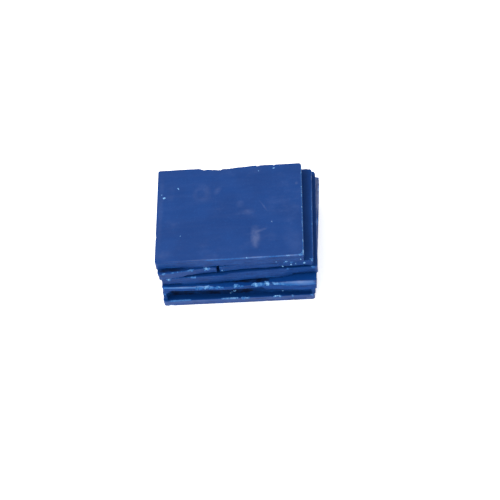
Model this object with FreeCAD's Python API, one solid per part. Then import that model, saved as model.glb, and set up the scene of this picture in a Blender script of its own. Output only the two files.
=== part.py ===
import FreeCAD, Part
import math
import os

# A loose stack of six thin rectangular slabs of a brittle blue chalk compound. The second slab
# from the top has cracked in two. Each piece is a separate solid that rests flat on the slab
# below it, and nothing fastens the pieces together.
# Frame: +X along the slabs' long front edges, +Y towards the back, +Z up. The origin is on the
# supporting surface, under the middle of the whole stack. Millimetres and degrees.

FRONT, RIGHT, BACK, LEFT = range(4)

# Driving dimensions.
EDGE_WEAR = 0.18        # bevel worn along every top and bottom edge
CORNER_RADIUS = 0.7     # upright corners, rounded by handling
BLUNT_RADIUS = 1.0      # the back right corners of the three upper slabs, which are more worn
CHIP_PLATEAU = 0.4      # share of a chip's length that has its full depth
CHIP_REACH = 1.0        # how far a chip's cutter stands out past the slab

BOTTOM_THICKNESS = 2.8
FIFTH_THICKNESS = 3.6
FOURTH_THICKNESS = 3.5
THIRD_THICKNESS = 4.0
SECOND_THICKNESS = 3.2
TOP_THICKNESS = 3.7

# The cracked slab: the left piece has crept away from the right one and turned a little.
CRACK = [(-6.5, -18.0), (-5.3, -9.4), (-7.3, -1.2), (-6.1, 8.3), (-7.4, 18.8)]
LEFT_PIECE_SHIFT = (-0.9, -0.3)
LEFT_PIECE_TURN = 1.2

# Corners of each slab seen from above: front left, front right, back right, back left. The
# slabs were cut by hand, so they differ in size, are a degree or two out of square and were
# stacked without being lined up.
TOP_CORNERS = [(-26.5, -17.25), (20.65, -17.3), (21.15, 18.7), (-25.9, 19.2)]
SECOND_CORNERS = [(-25.2, -18.4), (23.4, -17.1), (24.3, 18.9), (-24.6, 18.5)]
THIRD_CORNERS = [(-25.5, -18.8), (24.6, -17.5), (25.4, 20.1), (-25.6, 18.9)]
FOURTH_CORNERS = [(-25.6, -19.6), (23.85, -21.2), (26.5, 20.8), (-24.5, 18.7)]
FIFTH_CORNERS = [(-25.8, -19.7), (23.35, -20.7), (24.4, 17.8), (-25.1, 18.6)]
BOTTOM_CORNERS = [(-26.1, -20.15), (23.0, -20.95), (24.0, 16.9), (-25.4, 17.6)]

# Where an outline wanders from the straight line between its corners: distance along the side
# from its first corner, then depth. A negative depth stands out.
TOP_BACK_BREAK = [(15.9, 0.0), (18.0, 0.2), (22.3, 0.4), (27.0, 0.75), (32.0, 0.5), (33.0, 0.0)]
SECOND_FRONT_BREAK = [(9.0, 0.34), (14.7, 0.6), (17.6, 0.56), (19.6, 0.26), (25.4, 0.5), (33.2, 0.36)]
THIRD_FRONT_BREAK = [(13.6, -0.25), (25.5, -0.6), (31.5, -0.6), (38.0, -0.5), (41.0, 0.1)]
FOURTH_FRONT_BREAK = [(9.6, -0.2), (19.6, -0.35), (25.6, -0.15), (33.0, 0.3), (36.0, 0.25), (40.0, -0.1)]
FIFTH_FRONT_BREAK = [(1.2, 0.0), (1.6, 1.8), (14.0, 1.7), (30.0, 1.4), (42.0, 1.1), (47.5, 1.0), (48.1, 0.0)]

# Chips broken out of the top edges: side, distance along it, length, depth inwards, drop down
# the side, and how far the side stands out there from the line between its corners.
TOP_CHIPS = [(RIGHT, 13.0, 2.2, 0.4, 0.7, 0.0), (LEFT, 26.0, 2.6, 0.4, 0.8, 0.0)]
SECOND_CHIPS = [(BACK, 8.0, 3.6, 0.7, 1.1, 0.0)]
THIRD_CHIPS = [
    (FRONT, 1.0, 2.0, 0.7, 1.2, 0.0),
    (FRONT, 9.0, 2.4, 0.5, 0.9, 0.1),
    (FRONT, 20.0, 21.0, 0.2, 2.4, 0.6),
    (LEFT, 9.0, 4.5, 0.8, 1.4, 0.0),
]
FOURTH_CHIPS = [
    (FRONT, 9.7, 5.9, 0.65, 1.5, 0.25),
    (FRONT, 16.2, 3.0, 0.45, 1.2, 0.3),
    (FRONT, 22.4, 2.5, 0.85, 1.0, 0.25),
    (FRONT, 28.2, 4.8, 1.1, 1.3, -0.15),
    (FRONT, 33.4, 1.6, 1.5, 1.0, -0.28),
    (FRONT, 34.5, 24.0, 0.95, 0.9, 0.1),
    (RIGHT, 22.0, 3.4, 0.6, 1.0, 0.0),
]
FIFTH_CHIPS = [(BACK, 12.0, 5.0, 0.8, 1.3, 0.0)]
BOTTOM_CHIPS = [
    (FRONT, 26.0, 2.2, 0.5, 0.8, 0.0),
    (FRONT, 36.0, 1.8, 0.5, 0.8, 0.0),
    (LEFT, 20.0, 4.0, 0.7, 1.0, 0.0),
]

# The same for hollows broken out of the bottom edges, with the drop measured upwards.
TOP_HOLLOWS = [(FRONT, 1.0, 8.2, 1.0, 0.5, 0.0)]
FOURTH_HOLLOWS = [(FRONT, 0.8, 32.0, 1.4, 1.6, 0.3)]


def side(corners, number):
    """The first corner, unit direction, inward normal and length of one side."""
    first = corners[number]
    last = corners[(number + 1) % 4]
    length = math.hypot(last[0] - first[0], last[1] - first[1])
    along = ((last[0] - first[0]) / length, (last[1] - first[1]) / length)
    inward = (-along[1], along[0])
    return first, along, inward, length


def place(corners, number, distance, depth, z):
    """The point at this distance along a side, this far in from it, at height z."""
    first, along, inward, _ = side(corners, number)
    x = first[0] + along[0] * distance + inward[0] * depth
    y = first[1] + along[1] * distance + inward[1] * depth
    return FreeCAD.Vector(x, y, z)


def plate(outline, z, thickness):
    """A flat plate with upright sides on a closed outline."""
    ring = Part.makePolygon(outline + [outline[0]])
    return Part.Face(ring).extrude(FreeCAD.Vector(0, 0, thickness))


def round_upright(solid, places, radius):
    """Rounds the upright edges that stand at these places."""
    chosen = []
    for edge in solid.Edges:
        low, high = edge.BoundBox.ZMin, edge.BoundBox.ZMax
        middle = edge.BoundBox.Center
        near = any(math.hypot(middle.x - x, middle.y - y) < 0.01 for x, y in places)
        if near and high - low > EDGE_WEAR:
            chosen.append(edge)
    return solid.makeFillet(radius, chosen)


def round_corners(solid, corners, blunt):
    """Rounds a slab's four upright corners, the back right one more if it is blunt."""
    sharper = [corners[FRONT], corners[RIGHT], corners[LEFT]]
    solid = round_upright(solid, sharper, CORNER_RADIUS)
    return round_upright(solid, [corners[BACK]], BLUNT_RADIUS if blunt else CORNER_RADIUS)


def wear_edges(solid):
    """Bevels every edge of the top and bottom faces."""
    box = solid.BoundBox
    chosen = []
    for edge in solid.Edges:
        at_base = edge.BoundBox.ZMax < box.ZMin + 0.01
        at_top = edge.BoundBox.ZMin > box.ZMax - 0.01
        if at_base or at_top:
            chosen.append(edge)
    return solid.makeChamfer(EDGE_WEAR, chosen)


def rounded_plate(corners, z, thickness, breaks, blunt):
    """A four-sided plate with its broken-back stretches and rounded corners."""
    outline = []
    for number in range(4):
        outline.append(place(corners, number, 0, 0, z))
        for distance, depth in breaks.get(number, []):
            outline.append(place(corners, number, distance, depth, z))
    return round_corners(plate(outline, z, thickness), corners, blunt)


def slab(corners, z, thickness, breaks, blunt=False):
    """A whole slab with worn edges. breaks lists the broken-back stretches of each side."""
    return wear_edges(rounded_plate(corners, z, thickness, breaks, blunt))


def solid_from(points, faces):
    """A closed solid from named points and the faces between them."""
    made = []
    for names in faces:
        loop = [points[name] for name in names]
        made.append(Part.Face(Part.makePolygon(loop + [loop[0]])))
    return Part.makeSolid(Part.makeShell(made))


def break_edge(solid, corners, sizes, from_top):
    """Breaks one chip out of the top edge, or one hollow out of the bottom edge."""
    number, start, length, depth, drop, proud = sizes
    z = solid.BoundBox.ZMax if from_top else solid.BoundBox.ZMin
    into = -1 if from_top else 1
    ramp = length * (1 - CHIP_PLATEAU) / 2
    near, far = start + ramp, start + length - ramp
    out = -proud - CHIP_REACH
    points = {
        "start": place(corners, number, start, -proud, z),
        "end": place(corners, number, start + length, -proud, z),
        "near_face": place(corners, number, near, depth, z),
        "far_face": place(corners, number, far, depth, z),
        "near_side": place(corners, number, near, -proud, z + into * drop),
        "far_side": place(corners, number, far, -proud, z + into * drop),
        "near_out": place(corners, number, near, out, z - into * CHIP_REACH),
        "far_out": place(corners, number, far, out, z - into * CHIP_REACH),
    }
    faces = [
        ("start", "near_face", "near_side"),
        ("near_face", "far_face", "far_side", "near_side"),
        ("end", "far_side", "far_face"),
        ("start", "near_out", "near_face"),
        ("near_out", "far_out", "far_face", "near_face"),
        ("end", "far_face", "far_out"),
        ("start", "near_side", "near_out"),
        ("near_side", "far_side", "far_out", "near_out"),
        ("end", "far_out", "far_side"),
    ]
    return solid.cut(solid_from(points, faces))


def broken(solid, corners, chips, hollows=()):
    """The solid with all its chips and hollows."""
    for sizes in chips:
        solid = break_edge(solid, corners, sizes, True)
    for sizes in hollows:
        solid = break_edge(solid, corners, sizes, False)
    return solid


def beyond(points, reach):
    """The crack's line, carried on past the slab at both ends."""
    first, last = points[0], points[-1]
    return [(first[0], first[1] - reach)] + points + [(last[0], last[1] + reach)]


def cracked_slab(corners, z, thickness):
    """The second slab's left and right pieces, broken along the crack."""
    reach = 10.0
    line = beyond(CRACK, reach)
    far_left = corners[0][0] - reach
    region = [(far_left, line[0][1])] + line + [(far_left, line[-1][1])]
    left_region = [FreeCAD.Vector(x, y, z) for x, y in region]
    whole = rounded_plate(corners, z, thickness, {FRONT: SECOND_FRONT_BREAK}, True)
    cutter = plate(left_region, z, thickness)
    left = wear_edges(whole.common(cutter).Solids[0])
    right = wear_edges(whole.cut(cutter).Solids[0])
    pivot = FreeCAD.Vector(CRACK[0][0], CRACK[0][1], z)
    left.rotate(pivot, FreeCAD.Vector(0, 0, 1), LEFT_PIECE_TURN)
    left.translate(FreeCAD.Vector(LEFT_PIECE_SHIFT[0], LEFT_PIECE_SHIFT[1], 0))
    return left, right


# Heights of the six levels.
z_fifth = BOTTOM_THICKNESS
z_fourth = z_fifth + FIFTH_THICKNESS
z_third = z_fourth + FOURTH_THICKNESS
z_second = z_third + THIRD_THICKNESS
z_top = z_second + SECOND_THICKNESS

bottom = slab(BOTTOM_CORNERS, 0, BOTTOM_THICKNESS, {})
bottom = broken(bottom, BOTTOM_CORNERS, BOTTOM_CHIPS)

fifth = slab(FIFTH_CORNERS, z_fifth, FIFTH_THICKNESS, {FRONT: FIFTH_FRONT_BREAK})
fifth = broken(fifth, FIFTH_CORNERS, FIFTH_CHIPS)

fourth = slab(FOURTH_CORNERS, z_fourth, FOURTH_THICKNESS, {FRONT: FOURTH_FRONT_BREAK})
fourth = broken(fourth, FOURTH_CORNERS, FOURTH_CHIPS, FOURTH_HOLLOWS)

third = slab(THIRD_CORNERS, z_third, THIRD_THICKNESS, {FRONT: THIRD_FRONT_BREAK}, blunt=True)
third = broken(third, THIRD_CORNERS, THIRD_CHIPS)

second_left, second_right = cracked_slab(SECOND_CORNERS, z_second, SECOND_THICKNESS)
second_right = broken(second_right, SECOND_CORNERS, SECOND_CHIPS)

top = slab(TOP_CORNERS, z_top, TOP_THICKNESS, {BACK: TOP_BACK_BREAK}, blunt=True)
top = broken(top, TOP_CORNERS, TOP_CHIPS, TOP_HOLLOWS)

pieces = {
    "bottom_slab": bottom,
    "fifth_slab": fifth,
    "fourth_slab": fourth,
    "third_slab": third,
    "second_slab_left_piece": second_left,
    "second_slab_right_piece": second_right,
    "top_slab": top,
}
os.makedirs("parts", exist_ok=True)
for name, shape in pieces.items():
    solid = shape.Solids[0]
    solid.exportStep(f"parts/{name}.step")
    print(name, len(shape.Solids), solid.isValid(), round(solid.Volume, 1))
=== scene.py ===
import math

import bmesh
import bpy
import numpy as np
from mathutils import Matrix, Vector, noise


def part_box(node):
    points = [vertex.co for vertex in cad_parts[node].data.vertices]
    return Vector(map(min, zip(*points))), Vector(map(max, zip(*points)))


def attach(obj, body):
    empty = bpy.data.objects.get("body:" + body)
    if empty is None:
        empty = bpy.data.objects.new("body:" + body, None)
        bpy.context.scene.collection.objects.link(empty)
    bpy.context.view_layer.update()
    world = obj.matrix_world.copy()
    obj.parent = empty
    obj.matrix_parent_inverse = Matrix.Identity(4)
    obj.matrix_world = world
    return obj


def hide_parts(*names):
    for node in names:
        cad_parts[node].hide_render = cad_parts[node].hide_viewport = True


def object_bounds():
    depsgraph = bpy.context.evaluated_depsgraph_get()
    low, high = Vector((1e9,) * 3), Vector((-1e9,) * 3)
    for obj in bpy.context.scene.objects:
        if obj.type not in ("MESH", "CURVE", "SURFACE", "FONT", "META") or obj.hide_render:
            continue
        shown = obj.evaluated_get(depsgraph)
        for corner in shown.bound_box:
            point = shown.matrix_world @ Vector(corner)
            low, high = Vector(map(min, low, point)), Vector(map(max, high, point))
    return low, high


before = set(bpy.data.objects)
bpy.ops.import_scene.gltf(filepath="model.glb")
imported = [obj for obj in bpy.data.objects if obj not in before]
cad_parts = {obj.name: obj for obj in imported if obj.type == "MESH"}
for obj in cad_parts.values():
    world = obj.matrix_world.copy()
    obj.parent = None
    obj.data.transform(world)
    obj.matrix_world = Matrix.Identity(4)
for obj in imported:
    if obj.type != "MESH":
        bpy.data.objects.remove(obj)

cad_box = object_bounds()
MM = 0.001
FRONT, RIGHT, BACK, LEFT = range(4)
TOP, BOTTOM = 1, -1                  # a slab's two edges

# The slabs' lengths are in millimetres. Blender's own coordinates, and so outlines and the
# heights passed between functions, are in metres.
STATION_SPACING = 0.17               # between columns of points round a slab
RINGS = [0.0, 0.05, 0.11, 0.18, 0.26, 0.36, 0.48, 0.62, 0.8, 1.0, 1.25, 1.55, 1.9, 2.3]
COARSE_RINGS = [3.6, 6.5]            # further in, each with fewer points
THINNING = 4                         # every fourth point goes on to the next coarse ring
SIDE_ROWS = 20
UNEVENNESS = 0.07                    # how far the upright faces wander in
PLAIN_INSET = 0.8                    # share of that by which they lie in on average
TURNS_UPRIGHT = 0.18                 # share of the thickness over which a face counts as turning
LEAST_CUT, MOST_CUT = 0.03, 2.1
MOST_OF_SIDE = 0.96                  # share of a slab's side that both edges' cuts may take
FRESH_FROM = 0.34                    # cuts larger than this are fresh breaks, smaller ones are wear
WORN_CUT, WORN_SPREAD = 0.10, 0.09   # size of a plain worn edge, and how much it varies
WORN_BRIGHT, WORN_BRIGHT_SPREAD = 0.30, 0.25
WORN_SCOOP = 0.25
WEAR_LAG = 7                         # stations by which wear downwards trails wear inwards
SHADE_GROWTH = 1.4                   # how fast a hollow's shade grows from its rim inwards
BREAK_ROUGHNESS = 0.10               # share by which a break's size varies along it
BREAK_GRAIN = 0.035
FACET_SPACING = 0.8                  # along a chip
KNOT_REACH = 0.85                    # how near its ends a chip's outer knots may come
FACET_SHARES = 0.2, 1.0              # of the chip's depth and drop, drawn for each knot
FACET_GLOW, END_GLOW = (0.45, 1.3), 0.6
SHARP_ANGLE = 38                     # degrees
SEED_SHIFT = (17.3, 5.1, 9.7)        # moves each seed's noise to its own place


# ---- Outlines ----

def section_loop(edges):
    """The points of a closed chain of mesh edges, in order."""
    links = {}
    for edge in edges:
        first, second = edge.verts
        links.setdefault(first, []).append(second)
        links.setdefault(second, []).append(first)
    start = edges[0].verts[0]
    loop, last, here = [start], None, start
    while True:
        onward = [v for v in links[here] if v is not last]
        last, here = here, onward[0]
        if here is start:
            return loop
        loop.append(here)


def outline_of(node):
    """The closed outline of a CAD node half way up, anticlockwise, as an array of x and y."""
    low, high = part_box(node)
    mesh = bmesh.new()
    mesh.from_mesh(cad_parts[node].data)
    bmesh.ops.remove_doubles(mesh, verts=mesh.verts, dist=1e-7)
    middle = Vector((0, 0, (low.z + high.z) / 2))
    everything = mesh.verts[:] + mesh.edges[:] + mesh.faces[:]
    cut = bmesh.ops.bisect_plane(mesh, geom=everything, plane_co=middle, plane_no=(0, 0, 1))
    edges = [e for e in cut["geom_cut"] if isinstance(e, bmesh.types.BMEdge)]
    points = np.array([(v.co.x, v.co.y) for v in section_loop(edges)])
    mesh.free()
    x, y = points[:, 0], points[:, 1]
    area = np.sum(x * np.roll(y, -1) - np.roll(x, -1) * y)
    return points if area > 0 else points[::-1]


def resampled(points):
    """The same closed outline with evenly spaced points, as many as the thinning can divide."""
    closed = np.vstack([points, points[:1]])
    lengths = np.hypot(*np.diff(closed, axis=0).T)
    along = np.concatenate([[0], np.cumsum(lengths)])
    divisor = THINNING ** len(COARSE_RINGS)
    count = int(round(along[-1] / (STATION_SPACING * MM) / divisor)) * divisor
    at = np.arange(count) * along[-1] / count
    return np.stack([np.interp(at, along, closed[:, k]) for k in range(2)], axis=1)


def inset(outline, inward, half):
    """The outline drawn in towards its centre; half is half its width and depth."""
    centre = (outline.min(axis=0) + outline.max(axis=0)) / 2
    return centre + (outline - centre) * (1 - inward / half)


def field(points, per_mm, seed):
    """Smooth noise, about -1 to 1, at each point."""
    shift = Vector([seed * step for step in SEED_SHIFT])
    return np.array([noise.noise(Vector(p) * (per_mm / MM) + shift) for p in points])


def stations(points):
    """The side that each point of an outline is on, and its place along that side."""
    tangent = np.roll(points, -1, axis=0) - np.roll(points, 1, axis=0)
    outward = np.stack([tangent[:, 1], -tangent[:, 0]], axis=1)
    outward /= np.hypot(*outward.T)[:, None]
    across = np.abs(outward[:, 0]) > np.abs(outward[:, 1])
    left_or_right = np.where(outward[:, 0] > 0, RIGHT, LEFT)
    front_or_back = np.where(outward[:, 1] > 0, BACK, FRONT)
    low = points.min(axis=0)
    place = np.where(across, points[:, 1] - low[1], points[:, 0] - low[0]) / MM
    return np.where(across, left_or_right, front_or_back), place


# ---- Chips and worn edges ----

class Chip:
    """A piece broken out of one edge of one side, centred at a place along that side. depth is
    how far in and drop how far down it goes, bright how pale its fresh surface is, scoop how
    full its curve and shade how dark the painted shade in its hollow is. even is the share of its
    length cut to full depth; at 0 the chip has a few uneven facets instead."""

    def __init__(self, side, edge, place, length, depth, drop, bright, scoop=0.5, even=0.0, shade=0.0):
        self.side, self.edge, self.place, self.length = side, edge, place, length
        self.depth, self.drop, self.bright = depth, drop, bright
        self.scoop, self.even, self.shade = scoop, even, shade

    def seed(self):
        """A whole number of the chip's own, so that each one breaks its own way."""
        return int(self.place * 977 + self.length * 131 + self.side * 17 + 5 * self.edge + 7)

    def facets(self):
        """Knots along the chip from -1 to 1, and at each knot a share of depth, drop and bright."""
        if self.even:
            profile = [0, 1, 1, 0]
            return np.array([-1, -self.even, self.even, 1]), np.array([profile, profile, [1] * 4])
        draw = np.random.default_rng(self.seed())
        inner = 3 + int(self.length / FACET_SPACING)
        knots = np.sort(draw.uniform(-KNOT_REACH, KNOT_REACH, inner))
        shares = draw.uniform(*FACET_SHARES, (2, inner))
        peak = draw.integers(inner)
        shares[:, peak] = 1
        shares = np.hstack([np.zeros((2, 1)), shares, np.zeros((2, 1))])
        glow = np.concatenate([[END_GLOW], draw.uniform(*FACET_GLOW, inner), [END_GLOW]])
        return np.concatenate([[-1], knots, [1]]), np.vstack([shares, glow])


def small_nicks(seed, lengths, per_cm, largest):
    """Random small nicks on every edge of a slab, the same ones each time."""
    draw = np.random.default_rng(seed)
    made = []
    for side, side_length in enumerate(lengths):
        for edge in (TOP, BOTTOM):
            for _ in range(int(side_length / 10 * per_cm)):
                size = largest * draw.uniform(0.25, 1.0) ** 2
                made.append(Chip(
                    side, edge,
                    place=draw.uniform(0, side_length),
                    length=size * draw.uniform(1.4, 4.5),
                    depth=size * draw.uniform(0.35, 0.8),
                    drop=size * draw.uniform(0.4, 1.1),
                    bright=draw.uniform(0.1, 0.75),
                    scoop=draw.uniform(0.45, 0.75),
                ))
    return made


def edge_cut(chips, edge, side, place, wear, rough):
    """How far each station's edge is cut in and down, with its paleness, scoop and painted shade."""
    depth = WORN_CUT + WORN_SPREAD * wear
    drop = WORN_CUT + WORN_SPREAD * np.roll(wear, WEAR_LAG)
    bright = WORN_BRIGHT + WORN_BRIGHT_SPREAD * wear
    scoop = np.full(len(side), WORN_SCOOP)
    shade = np.zeros(len(side))
    uneven = 1 + BREAK_ROUGHNESS * rough
    for chip in chips:
        t = (place - chip.place) / (chip.length / 2)
        inside = (side == chip.side) & (np.abs(t) < 1)
        if chip.edge != edge or not inside.any():
            continue
        knots, (deep, low, glow) = chip.facets()
        share = np.interp(t, knots, deep)
        chip_depth = chip.depth * share * uneven
        chip_drop = chip.drop * np.interp(t, knots, low) * uneven
        deeper = inside & (chip_depth > depth)
        lower = inside & (chip_drop > drop)
        facet = glow[np.clip(np.searchsorted(knots, t), 0, len(knots) - 1)]
        bright = np.where(deeper | lower, chip.bright * facet, bright)
        scoop = np.where(deeper | lower, chip.scoop, scoop)
        shade = np.where(deeper | lower, chip.shade * share, shade)
        depth = np.where(deeper, chip_depth, depth)
        drop = np.where(lower, chip_drop, drop)
    return depth, drop, bright, scoop, shade


def both_cuts(chips, outline, seed, thick):
    """The cuts along the top and bottom edges, kept from meeting on the side between them."""
    side, place = stations(outline)
    flat = np.column_stack([outline, np.zeros(len(outline))])
    wear = field(flat, per_mm=0.55, seed=seed) + 0.6 * field(flat, per_mm=1.7, seed=seed + 1)
    rough = field(flat, per_mm=2.6, seed=seed + 2)
    cuts = {}
    for edge in (TOP, BOTTOM):
        depth, drop, *rest = edge_cut(chips, edge, side, place, wear, rough)
        cuts[edge] = [np.clip(depth, LEAST_CUT, MOST_CUT), np.clip(drop, LEAST_CUT, thick), *rest]
    over = np.maximum((cuts[TOP][1] + cuts[BOTTOM][1]) / (MOST_OF_SIDE * thick), 1)
    for edge in cuts:
        cuts[edge][1] = cuts[edge][1] / over
    return cuts


def cut_profile(position, depth, drop, scoop):
    """Moves points near a square edge onto the cut. position is below 0 on the flat face, at
    this distance from the edge, and above 0 on the side. Returns inward, down and whether cut."""
    on_face = position <= 0
    inward = np.where(on_face, -position, 0.0)
    down = np.where(on_face, 0.0, position)
    cut = np.where(on_face, inward < depth, down < drop)
    t = np.where(on_face, 0.5 * (1 - inward / depth), 0.5 + 0.5 * down / drop)
    t = np.clip(t, 0, 1)
    middle = 2 * t * (1 - t) * scoop
    curve_in = (1 - t) ** 2 * depth + middle * depth
    curve_down = t ** 2 * drop + middle * drop
    return np.where(cut, curve_in, inward), np.where(cut, curve_down, down), cut


# ---- The mesh of a slab ----

def row_positions(thick):
    """Each row's edge and its position for cut_profile, from the innermost fine ring of the
    top face, over the side, to the innermost of the bottom face."""
    rows = [(TOP, -ring) for ring in RINGS[::-1]]
    levels = 0.5 - 0.5 * np.cos(np.pi * np.arange(1, SIDE_ROWS) / SIDE_ROWS)
    for level in levels:
        down = level * thick
        rows.append((TOP, down) if level <= 0.5 else (BOTTOM, thick - down))
    return rows + [(BOTTOM, -ring) for ring in RINGS]


def row_of_points(outline, box, half, edge, position, cuts, seed):
    """One row of a slab's points, and what its material needs to know about each of them."""
    low, high = box
    thick = (high.z - low.z) / MM
    depth, drop, bright, scoop, shade = cuts
    inward, down, cut = cut_profile(np.full(len(outline), position), depth, drop, scoop)
    height = high.z / MM - down if edge == TOP else low.z / MM + down
    upright = np.clip(down / (TURNS_UPRIGHT * thick), 0, 1)
    here = np.column_stack([outline, height * MM])
    ripple = field(here, per_mm=0.45, seed=seed + 3) + 0.5 * field(here, per_mm=1.6, seed=seed + 4)
    inward = inward + upright * UNEVENNESS * (PLAIN_INSET + ripple)
    hackle = field(here, per_mm=3.2, seed=seed + 5)
    grain = np.where(cut, BREAK_GRAIN * hackle * np.minimum(depth, 1), 0)
    inward = np.maximum(inward + grain, 0)
    points = np.column_stack([inset(outline, inward[:, None], half), height * MM])
    broken = np.maximum(depth, drop) > FRESH_FROM
    return points, {
        "fresh": np.where(cut & broken, bright, 0),
        "worn": np.where(cut & ~broken, bright, 0),
        # Painted shade in hollows, growing from the rim inwards.
        "shade": np.where(cut, shade * np.clip(SHADE_GROWTH * inward / depth, 0, 1), 0),
        "upright": upright,
    }


def bands_between(rows, count):
    """Faces that join each row of points to the next, all the way round."""
    faces = []
    for row in range(rows - 1):
        for i in range(count):
            j = (i + 1) % count
            a, b = row * count + i, row * count + j
            faces.append((a, a + count, b + count, b))
    return faces


def fill_flat_face(vertices, faces, ring, outline, half, height, upwards):
    """Fills a flat face inwards from its innermost fine ring, with fewer and fewer points."""
    for inward in COARSE_RINGS:
        kept = len(ring) // THINNING
        inner = list(range(len(vertices), len(vertices) + kept))
        spots = inset(outline, inward, half)[::len(outline) // kept]
        vertices += [(x, y, height) for x, y in spots]
        for i in range(kept):
            outer = [ring[(i * THINNING + k) % len(ring)] for k in range(THINNING + 1)]
            face = outer + [inner[(i + 1) % kept], inner[i]]
            faces.append(tuple(face if upwards else face[::-1]))
        ring = inner
    faces.append(tuple(ring if upwards else ring[::-1]))


def slab_object(name, vertices, faces, marks):
    """The mesh as an object, with its marks as attributes; points that have none get 0."""
    mesh = bpy.data.meshes.new(name)
    mesh.from_pydata(vertices, [], faces)
    for key, given in marks.items():
        values = np.zeros(len(vertices), np.float32)
        values[:len(given)] = given
        mesh.attributes.new(key, "FLOAT", "POINT").data.foreach_set("value", values)
    mesh.shade_smooth()
    mesh.set_sharp_from_angle(angle=math.radians(SHARP_ANGLE))
    piece = bpy.data.objects.new(name, mesh)
    bpy.context.scene.collection.objects.link(piece)
    return piece


def build_slab(name, node, seed, chips, nicks, largest, draw_in):
    """A detailed slab on a CAD node's outline: worn and chipped edges and uneven broken sides.
    draw_in is the share of every inset that is taken off the left and right."""
    low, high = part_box(node)
    size_x, size_y, thick = [(top - bottom) / MM for bottom, top in zip(low, high)]
    outline = resampled(outline_of(node))
    count = len(outline)
    half = np.array([size_x / draw_in, size_y]) / 2
    chips = chips + small_nicks(seed, (size_x, size_y, size_x, size_y), nicks, largest)
    cuts = both_cuts(chips, outline, seed, thick)
    laid = [
        row_of_points(outline, (low, high), half, edge, position, cuts[edge], seed)
        for edge, position in row_positions(thick)
    ]
    vertices = [tuple(point) for points, _ in laid for point in points]
    marks = {key: np.concatenate([row[key] for _, row in laid]) for key in laid[0][1]}
    faces = bands_between(len(laid), count)
    last_ring = (len(laid) - 1) * count
    fill_flat_face(vertices, faces, list(range(count)), outline, half, high.z, True)
    fill_flat_face(vertices, faces, list(range(last_ring, last_ring + count)), outline, half, low.z, False)
    return slab_object(name, vertices, faces, marks)


# ---- Material ----

class Nodes:
    """Short calls for building one material's nodes."""

    def __init__(self, name):
        self.material = bpy.data.materials.new(name)
        self.material.use_nodes = True
        self.tree = self.material.node_tree
        self.tree.nodes.clear()
        self.output = self.add("ShaderNodeOutputMaterial")
        self.shader = self.add("ShaderNodeBsdfPrincipled")
        self.link(self.shader.outputs[0], self.output.inputs["Surface"])
        self.place = self.add("ShaderNodeTexCoord").outputs["Object"]

    def add(self, kind, **settings):
        node = self.tree.nodes.new(kind)
        for key, value in settings.items():
            setattr(node, key, value)
        return node

    def link(self, source, target):
        self.tree.links.new(source, target)

    def feed(self, socket, value):
        """Sets a socket to a constant, or links another socket to it."""
        if isinstance(value, (int, float, tuple)):
            socket.default_value = value
        else:
            self.link(value, socket)

    def math(self, operation, first, second=0.0, clamp=False):
        node = self.add("ShaderNodeMath", operation=operation, use_clamp=clamp)
        self.feed(node.inputs[0], first)
        self.feed(node.inputs[1], second)
        return node.outputs[0]

    def add_up(self, first, second):
        return self.math("ADD", first, second)

    def times(self, first, second):
        return self.math("MULTIPLY", first, second)

    def noise(self, per_mm, detail, rough, seed=0.0, stretch=(1, 1, 1)):
        """Fractal noise from 0 to 1; stretch squeezes the pattern along an axis."""
        mapping = self.add("ShaderNodeMapping")
        self.link(self.place, mapping.inputs["Vector"])
        mapping.inputs["Scale"].default_value = stretch
        mapping.inputs["Location"].default_value = (seed * 0.013, seed * 0.007, seed * 0.003)
        node = self.add("ShaderNodeTexNoise")
        self.link(mapping.outputs[0], node.inputs["Vector"])
        node.inputs["Scale"].default_value = per_mm / MM
        node.inputs["Detail"].default_value = detail
        node.inputs["Roughness"].default_value = rough
        return node.outputs["Fac"]

    def band(self, value, low, high, to_low=0.0, to_high=1.0):
        """Brings value, as it goes from low to high, softly from to_low to to_high."""
        node = self.add("ShaderNodeMapRange", interpolation_type="SMOOTHSTEP")
        self.feed(node.inputs["Value"], value)
        numbers = {"From Min": low, "From Max": high, "To Min": to_low, "To Max": to_high}
        for socket, number in numbers.items():
            node.inputs[socket].default_value = number
        return node.outputs["Result"]

    def mix(self, share, first, second):
        """Two colours mixed; share is how much of the second shows."""
        node = self.add("ShaderNodeMix", data_type="RGBA", clamp_factor=True)
        self.feed(node.inputs["Factor"], share)
        for socket, colour in ((node.inputs[6], first), (node.inputs[7], second)):
            self.feed(socket, (*colour, 1.0) if isinstance(colour, tuple) else colour)
        return node.outputs[2]

    def attribute(self, name):
        return self.add("ShaderNodeAttribute", attribute_name=name).outputs["Fac"]


DEEP_BLUE = (0.0012, 0.0245, 0.122)
SOFT_BLUE = (0.0020, 0.0295, 0.140)
PALE_BLOOM = (0.46, 0.50, 0.66)
BROKEN_BLUE = (0.010, 0.080, 0.27)
FRESH_BLUE = (0.018, 0.096, 0.285)
BRIGHT_BREAK = (0.21, 0.42, 0.65)
# The colour of painted shade, and of the darkest level streaks.
DEEP_SHADE = (0.0015, 0.0035, 0.014)
DARKEST_PAINTED_SHADE = 0.93
BUMP_STRENGTH, BUMP_HEIGHT = 0.5, 0.10 * MM

RAGGED_EDGE = 1.1                    # how far a mark's outline wanders, in half sizes
RING_INSIDE, RING_OUTSIDE = 0.4, 1.3
FADE_BELOW = 0.15                    # millimetres over which a mark fades out below its limit


def mottled_blue(n, seed, tone):
    """The compound's own blue, cloudy, with fine lighter specks. tone darkens it."""
    mottle = n.noise(per_mm=0.09, detail=4, rough=0.6, seed=seed)
    deep, soft = [tuple(c * tone for c in blue) for blue in (DEEP_BLUE, SOFT_BLUE)]
    colour = n.mix(n.band(mottle, 0.32, 0.68), deep, soft)
    specks = n.noise(per_mm=1.6, detail=4, rough=0.65, seed=seed + 1)
    return n.mix(n.band(specks, 0.50, 0.80, 0.0, 0.22), colour, BROKEN_BLUE)


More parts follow.
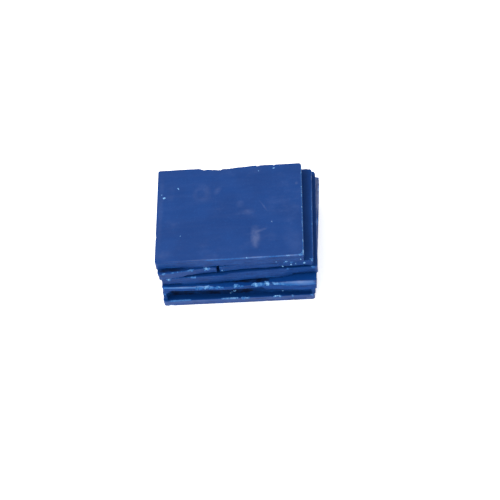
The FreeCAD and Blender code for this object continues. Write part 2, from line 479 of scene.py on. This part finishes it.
def soft_bloom(n, seed, face_haze, side_haze):
    """How much pale bloom shows: soft patches, streaked across, on flat and upright faces."""
    patches = n.band(n.noise(per_mm=0.16, detail=5, rough=0.62, seed=seed + 2), 0.50, 0.74)
    streaks = n.noise(per_mm=0.5, detail=4, rough=0.7, seed=seed + 3, stretch=(0.16, 1.0, 1.6))
    haze = n.band(n.attribute("upright"), 0.0, 1.0, face_haze, side_haze)
    bloom = n.times(n.add_up(patches, 0.6), haze)
    return n.times(bloom, n.band(streaks, 0.25, 0.75, 0.5, 1.5))


def level_streaks(n, colour, seed):
    """Fine level streaks, light and dark, where the upright sides were cut."""
    layers = n.noise(per_mm=1.1, detail=4, rough=0.7, seed=seed + 8, stretch=(0.22, 0.22, 1.9))
    upright = n.attribute("upright")
    light = n.times(n.band(layers, 0.50, 0.72, 0.0, 0.45), upright)
    dark = n.times(n.band(layers, 0.28, 0.48, 0.60, 0.0), upright)
    return n.mix(dark, n.mix(light, colour, BROKEN_BLUE), DEEP_SHADE)


def worn_and_broken(n, colour, hackle, fresh):
    """Lighter worn edges, and fresh breaks that glint in places."""
    worn = n.times(n.attribute("worn"), n.band(hackle, 0.34, 0.70, 0.25, 1.5))
    colour = n.mix(n.math("MINIMUM", worn, 0.8), colour, BROKEN_BLUE)
    colour = n.mix(n.band(fresh, 0.0, 0.35, 0.0, 0.95), colour, FRESH_BLUE)
    glint = n.times(n.band(fresh, 0.30, 1.0), n.band(hackle, 0.42, 0.66, 0.10, 1.1))
    return n.mix(glint, colour, BRIGHT_BREAK)


def painted_shade(n, colour, shade_marks, fresh):
    """Painted shade in the hollows and under the shade marks, but not on fresh breaks and flakes."""
    # The hollows' painted shade, then each painted shade mark on top.
    dark = n.times(n.attribute("shade"), 0.9)
    for shade_mark in shade_marks:
        dark = n.add_up(dark, n.times(shade_mark(n), n.math("SUBTRACT", 1.0, fresh)))
    return n.mix(n.math("MINIMUM", dark, DARKEST_PAINTED_SHADE), colour, DEEP_SHADE)


def satin(n, seed, bloom, fresh):
    """Roughness: satin faces, duller bloom and glassier breaks."""
    smooth = n.noise(per_mm=0.7, detail=4, rough=0.6, seed=seed + 5)
    roughness = n.add_up(n.band(smooth, 0.2, 0.8, 0.40, 0.56), n.times(bloom, 0.35))
    return n.math("SUBTRACT", roughness, n.times(fresh, 0.16), clamp=True)


def relief(n, seed, hackle, fresh):
    """Surface direction: fine grain, soft unevenness and the ripples of a break."""
    grain = n.times(n.noise(per_mm=3.5, detail=3, rough=0.6, seed=seed + 6), 0.30)
    waves = n.times(n.noise(per_mm=0.22, detail=2, rough=0.5, seed=seed + 7), 0.9)
    ripples = n.times(n.times(hackle, fresh), 2.4)
    bump = n.add("ShaderNodeBump")
    bump.inputs["Strength"].default_value = BUMP_STRENGTH
    bump.inputs["Distance"].default_value = BUMP_HEIGHT
    n.link(n.add_up(n.add_up(grain, waves), ripples), bump.inputs["Height"])
    return bump.outputs[0]


def compound(name, seed, marks, shade_marks, tone, face_haze, side_haze, gloss):
    """The blue chalk compound: mottled blue, a faint pale bloom, worn edges and bright breaks.
    tone darkens a slab, the hazes are its bloom on flat and upright faces, gloss its shine."""
    n = Nodes(name)
    bloom = soft_bloom(n, seed, face_haze, side_haze)
    hackle = n.noise(per_mm=1.9, detail=5, rough=0.7, seed=seed + 4)
    fresh = n.attribute("fresh")
    colour = n.mix(bloom, mottled_blue(n, seed, tone), PALE_BLOOM)
    colour = level_streaks(n, colour, seed)
    colour = worn_and_broken(n, colour, hackle, fresh)
    # Rub marks and painted highlights lie over everything but the painted shade.
    rubs_and_highlights = 0.0
    for mark in marks:
        rubs_and_highlights = n.add_up(mark(n), rubs_and_highlights)
    colour = n.mix(rubs_and_highlights, colour, PALE_BLOOM)
    colour = painted_shade(n, colour, shade_marks, fresh)
    n.link(colour, n.shader.inputs["Base Color"])
    n.link(satin(n, seed, n.add_up(bloom, rubs_and_highlights), fresh), n.shader.inputs["Roughness"])
    n.shader.inputs["Specular IOR Level"].default_value = gloss
    n.link(relief(n, seed, hackle, fresh), n.shader.inputs["Normal"])
    return n.material


def from_corner(node, x, y):
    """A point in metres from millimetres off a slab's front left corner, or, for numbers below
    0, off its back right corner."""
    low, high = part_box(node)
    return (low.x if x >= 0 else high.x) + x * MM, (low.y if y >= 0 else high.y) + y * MM


def smear(node, x, y, half_x, half_y, turn, strength, softness, seed, ring=0.0, down_to=None):
    """A soft mark on a slab, placed by from_corner. turn is in degrees, ring leaves its middle
    clear, and down_to is how far below the slab's top it still reaches."""
    place = from_corner(node, x, y)

    def build(n):
        mapping = n.add("ShaderNodeMapping", vector_type="TEXTURE")
        n.link(n.place, mapping.inputs["Vector"])
        mapping.inputs["Location"].default_value = (*place, 0)
        mapping.inputs["Rotation"].default_value = (0, 0, math.radians(turn))
        mapping.inputs["Scale"].default_value = (half_x * MM, half_y * MM, 1)
        parts = n.add("ShaderNodeSeparateXYZ")
        n.link(mapping.outputs[0], parts.inputs[0])
        away = n.math("SQRT", n.add_up(*[n.times(parts.outputs[k], parts.outputs[k]) for k in range(2)]))
        ragged = n.math("SUBTRACT", n.noise(per_mm=0.30, detail=3, rough=0.6, seed=seed), 0.5)
        away = n.add_up(away, n.times(ragged, RAGGED_EDGE))
        shape = n.band(away, 1 - softness, 1 + softness * 0.4, 1.0, 0.0)
        if ring:
            shape = n.times(shape, n.band(away, ring * RING_INSIDE, ring * RING_OUTSIDE))
        if down_to:
            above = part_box(node)[1].z - down_to * MM
            height = n.add("ShaderNodeSeparateXYZ")
            n.link(n.place, height.inputs[0])
            shape = n.times(shape, n.band(height.outputs[2], above - FADE_BELOW * MM, above))
        cloud = n.noise(per_mm=0.35, detail=3, rough=0.6, seed=seed + 9)
        return n.times(n.times(shape, n.band(cloud, 0.25, 0.75, 0.4, 1.1)), strength)
    return build


# ---- The slabs ----

def make_slab(node, seed, chips, nicks, largest, gloss,
              tone=1.0, face_haze=0.0, side_haze=0.0, marks=(), shade_marks=(), draw_in=1.0):
    """Puts a detailed slab in the place of its CAD node and returns its material. nicks is how
    many small random nicks each centimetre of edge has, and largest is their greatest size."""
    look = compound(f"compound_{node}", seed, marks, shade_marks, tone, face_haze, side_haze, gloss)
    piece = build_slab(f"{node}_body", node, seed, chips, nicks, largest, draw_in)
    piece.data.materials.append(look)
    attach(piece, node)
    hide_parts(node)
    return look


def top_rubs_and_highlight():
    """The pale rubs and scratches on the top slab, and a painted highlight along the top of its front
    edge.
    """
    node = "top_slab"
    return [
        smear(node, 14.9, 26.2, 2.8, 3.3, 0, 0.045, 0.8, seed=3, ring=0.8),
        smear(node, 20.0, 26.8, 1.1, 1.9, -30, 0.034, 0.9, seed=5),
        smear(node, 32.1, 8.1, 1.5, 3.8, 2, 0.085, 0.9, seed=7),
        smear(node, 32.0, 6.2, 0.7, 2.2, 6, 0.04, 0.8, seed=8),
        smear(node, 34.2, 10.5, 2.0, 0.6, 20, 0.05, 0.7, seed=8),
        smear(node, 29.0, 17.7, 3.0, 1.1, 4, 0.040, 0.9, seed=11),
        smear(node, 27.3, 21.2, 1.3, 1.4, 0, 0.030, 0.9, seed=12),
        smear(node, 34.9, 19.8, 2.5, 0.28, -60, 0.035, 0.8, seed=13),
        smear(node, 44.0, 6.0, 3.0, 6.0, 10, 0.016, 0.8, seed=15),
        smear(node, 3.0, 3.0, 3.0, 2.0, 0, 0.02, 0.8, seed=16),
        smear(node, 1.6, 20.0, 1.0, 14.0, -2, 0.02, 0.8, seed=17),
        smear(node, 37.4, 13.4, 0.4, 0.6, 0, 0.03, 0.6, seed=18),
        smear(node, 45.8, 27.9, 0.5, 0.6, 0, 0.035, 0.6, seed=19),
        # A painted highlight along the top of the front edge.
        smear(node, 31.5, 0.25, 5.5, 0.24, -0.4, 0.12, 0.7, seed=25, down_to=0.25),
        smear(node, 43.0, 0.17, 4.6, 0.22, -0.4, 0.12, 0.7, seed=26, down_to=0.25),
        smear(node, 14.0, 0.40, 12.0, 0.22, -0.4, 0.06, 0.7, seed=27, down_to=0.25),
    ]


def top_slab():
    """Thin, with rub marks, light worn edges, a painted highlight along its front edge and a hollow with
    painted shade under its front left corner.
    """
    chips = [
        Chip(FRONT, TOP, 30.6, 7.0, 0.36, 0.36, 0.62), Chip(FRONT, TOP, 42.0, 9.4, 0.36, 0.36, 0.58),
        Chip(FRONT, TOP, 31.0, 32.0, 0.30, 0.30, 0.9, even=0.9),
        Chip(FRONT, TOP, 46.3, 1.4, 0.6, 0.7, 0.8), Chip(RIGHT, TOP, 0.9, 2.2, 0.6, 0.8, 0.7),
        Chip(RIGHT, TOP, 18.0, 35.0, 0.33, 0.33, 0.95, even=0.95),
        Chip(RIGHT, TOP, 12.0, 3.0, 0.4, 0.7, 0.3), Chip(BACK, TOP, 15.5, 3.5, 0.45, 0.7, 0.3),
        Chip(BACK, TOP, 20.0, 4.0, 0.5, 0.8, 0.25), Chip(BACK, TOP, 24.5, 3.5, 0.4, 0.5, 0.2),
        Chip(BACK, TOP, 33.6, 1.3, 0.5, 0.6, 0.5), Chip(BACK, TOP, 38.6, 1.2, 0.5, 0.5, 0.5),
        Chip(LEFT, TOP, 10.0, 2.6, 0.35, 0.6, 0.3), Chip(FRONT, BOTTOM, 20.0, 7.0, 0.3, 0.5, 0.2),
        # A hollow with painted shade in it.
        Chip(FRONT, BOTTOM, 5.3, 8.0, 1.3, 0.42, 0.0, scoop=0.7, even=0.8, shade=1.0),
    ]
    return make_slab("top_slab", seed=11, chips=chips, nicks=1.3, largest=0.45, gloss=0.10,
                     face_haze=0.012, side_haze=0.002, marks=top_rubs_and_highlight())


def second_slab_left_piece():
    """The piece left of the crack, with painted shade on its ledge under the top slab's hollow."""
    node = "second_slab_left_piece"
    chips = [
        Chip(FRONT, TOP, 2.2, 1.6, 0.5, 0.8, 0.6), Chip(FRONT, TOP, 5.5, 6.0, 0.33, 0.4, 0.5),
        Chip(FRONT, TOP, 9.9, 4.6, 0.6, 0.8, 0.62), Chip(FRONT, TOP, 16.0, 2.4, 0.7, 1.7, 0.7),
        Chip(LEFT, BOTTOM, 1.0, 9.0, 1.0, 2.4, 0.15, even=0.5),
        # A hollow under the front edge, with painted shade in it.
        Chip(FRONT, BOTTOM, 14.0, 13.0, 0.8, 0.6, 0.0, scoop=0.7, even=0.75, shade=1.0),
    ]
    # Painted shade on the ledge under the top slab's hollow.
    shade_marks = [smear(node, 4.6, 1.35, 5.4, 0.7, 1, 0.95, 0.6, seed=31)]
    return make_slab(node, seed=23, chips=chips, nicks=2.0, largest=0.6, gloss=0.10,
                     tone=1.05, side_haze=0.012, shade_marks=shade_marks)


def second_slab_right_piece():
    """The piece right of the crack, nicked all along its front."""
    chips = [
        # A hollow under the front edge, with painted shade in it.
        Chip(FRONT, BOTTOM, 16.0, 34.0, 0.8, 0.6, 0.0, scoop=0.7, even=0.75, shade=1.0),
        Chip(FRONT, BOTTOM, 2.0, 1.6, 0.6, 1.4, 0.5), Chip(FRONT, TOP, 30.6, 1.4, 0.8, 1.2, 0.8),
        Chip(RIGHT, TOP, 1.0, 1.6, 0.8, 1.2, 0.8),
        Chip(RIGHT, TOP, 16.0, 30.0, 0.33, 0.33, 0.45, even=0.75),
        Chip(FRONT, BOTTOM, 21.4, 2.0, 0.4, 0.9, 0.45), Chip(FRONT, TOP, 22.0, 1.2, 0.4, 0.9, 0.4),
        Chip(FRONT, TOP, 24.0, 1.4, 0.4, 1.4, 0.45), Chip(FRONT, BOTTOM, 28.0, 2.0, 0.4, 1.0, 0.4),
        Chip(BACK, TOP, 22.0, 3.6, 0.7, 1.1, 0.35),
    ]
    return make_slab("second_slab_right_piece", seed=31, chips=chips, nicks=2.4, largest=0.7,
                     gloss=0.08, side_haze=0.003)


def third_slab():
    """A thicker slab, its lower front edge hollowed along the middle, with painted shade in the hollow."""
    chips = [
        Chip(FRONT, TOP, 30.5, 21.0, 0.75, 2.4, 0.0, scoop=0.45, even=0.75),
        Chip(FRONT, TOP, 2.4, 1.9, 0.6, 1.2, 0.8), Chip(FRONT, TOP, 6.0, 3.6, 0.3, 0.35, 0.45),
        Chip(FRONT, TOP, 10.4, 2.4, 0.5, 0.8, 0.6), Chip(FRONT, TOP, 8.6, 2.6, 0.35, 0.4, 0.5),
        Chip(FRONT, TOP, 40.8, 1.4, 0.4, 0.6, 0.45), Chip(FRONT, TOP, 48.9, 1.4, 0.5, 0.9, 0.5),
        Chip(LEFT, TOP, 27.0, 4.5, 0.8, 1.4, 0.35),
        # Hollows under the front edge, with painted shade in them.
        Chip(FRONT, BOTTOM, 3.0, 8.0, 0.5, 1.3, 0.0, scoop=0.45, even=0.75, shade=0.2),
        Chip(FRONT, BOTTOM, 46.0, 9.0, 0.5, 1.4, 0.0, scoop=0.45, even=0.75, shade=0.3),
        Chip(FRONT, BOTTOM, 28.0, 22.0, 1.1, 0.55, 0.0, scoop=0.9, even=0.6, shade=1.0),
    ]
    return make_slab("third_slab", seed=43, chips=chips, nicks=2.2, largest=0.7, gloss=0.08,
                     side_haze=0.010)


def fourth_slab():
    """The largest slab, its front edge chipped all along and bevelled at the right. Painted shade
    lies where the third slab meets it, and painted highlights run along parts of its front edge."""
    node = "fourth_slab"
    chips = [
        Chip(FRONT, TOP, 13.1, 5.9, 1.0, 1.4, 0.6), Chip(FRONT, TOP, 15.9, 3.2, 0.5, 1.0, 0.45),
        Chip(FRONT, TOP, 18.0, 3.0, 0.7, 1.1, 0.55), Chip(FRONT, TOP, 19.2, 1.4, 0.4, 1.2, 0.5),
        Chip(FRONT, TOP, 23.9, 2.6, 1.0, 1.0, 0.5), Chip(FRONT, TOP, 25.6, 1.6, 0.4, 0.9, 0.4),
        Chip(FRONT, TOP, 30.8, 4.8, 1.0, 1.3, 0.6), Chip(FRONT, TOP, 33.9, 1.9, 1.3, 1.1, 0.95),
        Chip(FRONT, TOP, 38.0, 1.6, 0.5, 0.6, 0.5), Chip(FRONT, TOP, 42.8, 2.0, 0.6, 0.6, 0.7),
        Chip(FRONT, TOP, 45.6, 2.6, 0.4, 0.5, 0.5), Chip(FRONT, TOP, 48.6, 2.2, 0.5, 0.8, 0.5),
        Chip(FRONT, TOP, 6.0, 13.0, 0.36, 0.42, 0.42, even=0.9),
        # Hollows under the front edge, with painted shade in them.
        Chip(FRONT, BOTTOM, 17.2, 32.6, 1.7, 1.7, 0.0, scoop=0.6, even=0.92, shade=1.0),
        Chip(FRONT, BOTTOM, 38.0, 13.0, 0.4, 0.5, 0.0, scoop=0.4, even=0.4, shade=0.7),
        Chip(FRONT, TOP, 46.8, 23.6, 1.05, 0.9, 0.24, scoop=0.6, even=0.5),
        Chip(FRONT, TOP, 37.6, 4.6, 0.9, 0.7, 0.55), Chip(FRONT, TOP, 43.3, 4.2, 1.15, 0.6, 0.5),
        Chip(RIGHT, TOP, 24.0, 3.4, 0.6, 1.0, 0.4), Chip(RIGHT, TOP, 33.0, 12.0, 0.33, 0.4, 0.4),
    ]
    # Pale marks: the first, along the back of the right edge, is pale bloom, partly painted light; the
    # other three, along the top of the front edge, are painted highlight, partly bloom.
    marks = [
        smear(node, -0.8, -8.5, 1.6, 9.5, 2, 0.30, 0.5, seed=21, down_to=0.3),
        smear(node, 43.0, 1.0, 8.5, 0.40, -1.5, 0.14, 0.9, seed=22, down_to=0.8),
        smear(node, 46.0, 0.6, 4.5, 0.8, -1.5, 0.07, 0.9, seed=23, down_to=0.9),
        smear(node, 9.0, 1.45, 9.0, 0.30, -1.5, 0.12, 0.7, seed=24, down_to=0.3),
    ]
    # Painted shade along the foot of the third slab, where it meets this one.
    shade_marks = [
        smear(node, 29.5, 2.45, 6.6, 0.85, 0, 1.0, 0.3, seed=34),
        smear(node, 18.0, 2.4, 7.0, 0.40, 0, 0.5, 0.6, seed=35),
    ]
    return make_slab(node, seed=57, chips=chips, nicks=2.2, largest=0.8, gloss=0.04,
                     tone=1.1, marks=marks, shade_marks=shade_marks)


def fifth_slab():
    """Its front edge is broken back between two narrow nibs, with painted shade in the recess. The
    small draw_in keeps the rings of points from crossing the nibs."""
    node = "fifth_slab"
    chips = [
        Chip(FRONT, TOP, 0.8, 1.2, 0.4, 0.6, 0.45), Chip(FRONT, TOP, 22.9, 1.3, 0.4, 0.9, 0.5),
        Chip(FRONT, BOTTOM, 22.1, 1.0, 0.4, 1.2, 0.45), Chip(FRONT, TOP, 38.5, 1.2, 0.4, 0.6, 0.45),
        Chip(BACK, TOP, 33.0, 5.0, 0.8, 1.3, 0.35),
    ]
    # Painted shade over the recessed front face, under the fourth slab's overhang.
    shade_marks = [
        smear(node, 15.0, 2.45, 13.2, 0.95, -2, 1.0, 0.15, seed=32),
        smear(node, 37.0, 1.45, 12.0, 0.8, -2.5, 0.35, 0.5, seed=33),
    ]
    return make_slab(node, seed=71, chips=chips, nicks=1.6, largest=0.6, gloss=0.03,
                     tone=0.9, shade_marks=shade_marks, draw_in=0.2)


def bottom_slab():
    """The thinnest slab, its upright faces hazed paler: partly bloom, partly painted light bounced up from
    the floor.
    """
    chips = [
        Chip(FRONT, TOP, 3.2, 2.6, 0.4, 0.7, 0.5), Chip(FRONT, BOTTOM, 2.4, 1.8, 0.3, 0.6, 0.5),
        Chip(FRONT, TOP, 26.8, 3.2, 0.5, 1.1, 0.6), Chip(FRONT, TOP, 37.2, 3.2, 0.5, 0.9, 0.8),
        Chip(FRONT, TOP, 42.2, 1.2, 0.4, 1.0, 0.65), Chip(FRONT, TOP, 48.2, 1.2, 0.4, 1.2, 0.7),
        Chip(FRONT, TOP, 21.6, 6.5, 0.36, 0.42, 0.6, even=0.8),
        Chip(FRONT, TOP, 5.5, 8.0, 0.36, 0.37, 0.45, even=0.8),
        Chip(LEFT, TOP, 15.0, 4.0, 0.7, 1.0, 0.35),
    ]
    return make_slab("bottom_slab", seed=83, chips=chips, nicks=2.0, largest=0.5, gloss=0.08,
                     tone=1.1, side_haze=0.068)


looks = {
    "top_slab": top_slab(),
    "second_slab_left_piece": second_slab_left_piece(),
    "second_slab_right_piece": second_slab_right_piece(),
    "third_slab": third_slab(),
    "fourth_slab": fourth_slab(),
    "fifth_slab": fifth_slab(),
    "bottom_slab": bottom_slab(),
}


# ---- Small loose flakes on the top face and the front faces ----

FLAKE_CORNERS = 9
CREST_LENGTH, CREST_WIDTH = 0.55, 0.5    # shares of the rim's
FLAKE_SEED = 90
SUNK = 0.01                              # how far a flake on the top face is let in

TOP_FLAKES = [
    # x and y off the front left corner of the top slab's box, then length, width, height, turn
    (2.7, 25.3, 1.15, 0.80, 0.2, 12),
    (7.3, 28.7, 0.45, 1.3, 0.05, 25),
    (1.9, 26.6, 0.5, 0.35, 0.03, 20),
    (8.1, 10.0, 0.45, 0.35, 0.03, 30),
    (37.4, 13.4, 0.3, 0.25, 0.03, 0),
    (38.6, 34.6, 0.9, 0.45, 0.08, 8),
    (33.6, 33.9, 0.5, 0.4, 0.05, 40),
]
FRONT_FLAKES = [
    # the slab it clings to, x off the box's low corner, how far in its front face is there,
    # height above its underside, length, width, height, turn
    ("second_slab_right_piece", 21.0, 0.66, 0.7, 1.1, 0.8, 0.25, 10),
    ("second_slab_right_piece", 23.7, 0.64, 1.4, 0.8, 1.2, 0.25, 30),
    ("second_slab_right_piece", 25.2, 0.63, 1.8, 0.6, 1.0, 0.22, 0),
    ("second_slab_right_piece", 27.9, 0.60, 1.9, 1.0, 1.0, 0.22, 50),
    ("second_slab_right_piece", 19.6, 0.67, 2.2, 0.6, 0.7, 0.18, 0),
    ("second_slab_right_piece", 1.8, 0.12, 1.1, 0.6, 0.9, 0.22, 0),
    ("top_slab", 41.4, 0.05, 0.35, 1.0, 0.6, 0.22, 0),
    ("top_slab", 38.3, 0.06, 0.5, 0.6, 0.5, 0.18, 0),
    ("top_slab", 46.0, 0.02, 1.2, 0.5, 0.6, 0.18, 0),
    ("fifth_slab", 23.1, 2.05, 1.6, 1.2, 0.5, 0.3, 8),
    ("fifth_slab", 21.7, 2.05, 0.4, 0.6, 0.5, 0.25, 8),
    ("fifth_slab", 38.6, 1.30, 1.1, 0.7, 0.5, 0.25, 0),
]


def flake_mesh(name, length, width, height, seed):
    """A tiny angular flake lying flat: an uneven rim and a smaller crest above it."""
    draw = np.random.default_rng(seed)
    mesh = bmesh.new()
    rim, crest = [], []
    for i in range(FLAKE_CORNERS):
        angle = 2 * math.pi * i / FLAKE_CORNERS
        reach = draw.uniform(0.75, 1.1)
        x, y = math.cos(angle) * length / 2 * reach, math.sin(angle) * width / 2 * reach
        rim.append(mesh.verts.new((x, y, 0)))
        lift = height * draw.uniform(0.6, 1.0)
        crest.append(mesh.verts.new((x * CREST_LENGTH, y * CREST_WIDTH, lift)))
    for i in range(FLAKE_CORNERS):
        j = (i + 1) % FLAKE_CORNERS
        mesh.faces.new((rim[i], rim[j], crest[j], crest[i]))
    mesh.faces.new(crest)
    mesh.faces.new(rim[::-1])
    data = bpy.data.meshes.new(name)
    mesh.to_mesh(data)
    mesh.free()
    return data


def flake(name, spot, length, width, height, turn, upright, seed):
    """A flake on a flat face, or clinging to a front face if it is upright."""
    data = flake_mesh(name, length, width, height, seed)
    stand = Matrix.Rotation(math.radians(90 if upright else 0), 4, "X")
    turned = Matrix.Translation(spot) @ stand @ Matrix.Rotation(math.radians(turn), 4, "Z")
    data.transform(turned @ Matrix.Scale(MM, 4))
    layer = data.attributes.new("fresh", "FLOAT", "POINT")
    layer.data.foreach_set("value", np.ones(len(data.vertices), np.float32))
    piece = bpy.data.objects.new(name, data)
    bpy.context.scene.collection.objects.link(piece)
    return piece


def lay_flakes():
    """Puts every flake on its slab."""
    placed = []
    for x, y, *sizes in TOP_FLAKES:
        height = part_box("top_slab")[1].z - SUNK * MM
        placed.append(("top_slab", (*from_corner("top_slab", x, y), height), sizes, False))
    for node, x, in_by, up, *sizes in FRONT_FLAKES:
        low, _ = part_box(node)
        placed.append((node, (low.x + x * MM, low.y + in_by * MM, low.z + up * MM), sizes, True))
    for number, (node, spot, sizes, upright) in enumerate(placed, 1):
        piece = flake(f"{node}_flake_{number}", spot, *sizes, upright, FLAKE_SEED + number)
        piece.data.materials.append(looks[node])
        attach(piece, node)


lay_flakes()


# ---- Studio, in metres ----

FLOOR_REACH = 3.0
FLOOR_TONES = (0.90, 0.90, 0.905), (0.93, 0.93, 0.93)
FLOOR_GLOW = 0.30
WORLD_COLOUR, WORLD_STRENGTH = (0.97, 0.985, 1.0, 1), 1.25
ELEVATION, AZIMUTH, ROLL = math.radians(56), math.radians(6.5), math.radians(9)
CAMERA_DISTANCE = 0.4848
AIM_SHIFT = (3.03, -7.09, 0)         # in millimetres, from the middle of the stack


def pale_floor():
    mesh = bpy.data.meshes.new("studio_floor")
    far = FLOOR_REACH
    mesh.from_pydata([(-far, -far, 0), (far, -far, 0), (far, far, 0), (-far, far, 0)], [], [(0, 1, 2, 3)])
    floor = bpy.data.objects.new("studio_floor", mesh)
    bpy.context.scene.collection.objects.link(floor)
    floor.location.z = cad_box[0].z
    n = Nodes("studio_floor")
    speckle = n.noise(per_mm=0.02, detail=3, rough=0.5)
    n.link(n.mix(speckle, *FLOOR_TONES), n.shader.inputs["Base Color"])
    n.shader.inputs["Roughness"].default_value = 0.9
    n.shader.inputs["Emission Color"].default_value = (1, 1, 1, 1)
    n.shader.inputs["Emission Strength"].default_value = FLOOR_GLOW
    n.shader.inputs["Specular IOR Level"].default_value = 0.1
    mesh.materials.append(n.material)


def soft_light(name, direction, distance, size, energy):
    """A large square lamp that shines at the stack from a direction."""
    lamp = bpy.data.lights.new(name, "AREA")
    lamp.shape, lamp.size, lamp.energy = "SQUARE", size, energy
    thing = bpy.data.objects.new(name, lamp)
    thing.location = Vector(direction).normalized() * distance
    thing.rotation_mode = "QUATERNION"
    thing.rotation_quaternion = (-thing.location).to_track_quat("-Z", "Y")
    bpy.context.scene.collection.objects.link(thing)


def studio():
    """A white surround, a lamp from the upper left and a weak one in front."""
    scene = bpy.context.scene
    world = bpy.data.worlds.new("studio")
    world.use_nodes = True
    backdrop = world.node_tree.nodes["Background"]
    backdrop.inputs["Color"].default_value = WORLD_COLOUR
    backdrop.inputs["Strength"].default_value = WORLD_STRENGTH
    scene.world = world
    soft_light("key", direction=(-0.56, 0.05, 0.83), distance=1.1, size=0.5, energy=10.0)
    soft_light("front_fill", direction=(-0.10, -0.97, 0.22), distance=1.3, size=0.7, energy=4.5)
    scene.view_settings.view_transform = "Standard"


def camera():
    """A long lens above the front edge, turned a little to the right and rolled clockwise."""
    level, height = math.cos(ELEVATION), math.sin(ELEVATION)
    back = Vector((math.sin(AZIMUTH) * level, -math.cos(AZIMUTH) * level, height))
    right = Vector((math.cos(AZIMUTH), math.sin(AZIMUTH), 0))
    up = back.cross(right)
    across = right * math.cos(ROLL) - up * math.sin(ROLL)
    upright = right * math.sin(ROLL) + up * math.cos(ROLL)
    aim = (cad_box[0] + cad_box[1]) / 2 + Vector(AIM_SHIFT) * MM
    lens = bpy.data.cameras.new("camera")
    lens.lens, lens.sensor_width = 108, 36
    lens.clip_start, lens.clip_end = 0.01, 10
    thing = bpy.data.objects.new("camera", lens)
    turned = Matrix((across, upright, back)).transposed().to_4x4()
    thing.matrix_world = Matrix.Translation(aim + back * CAMERA_DISTANCE) @ turned
    bpy.context.scene.collection.objects.link(thing)
    bpy.context.scene.camera = thing


pale_floor()
studio()
camera()

bpy.context.view_layer.update()
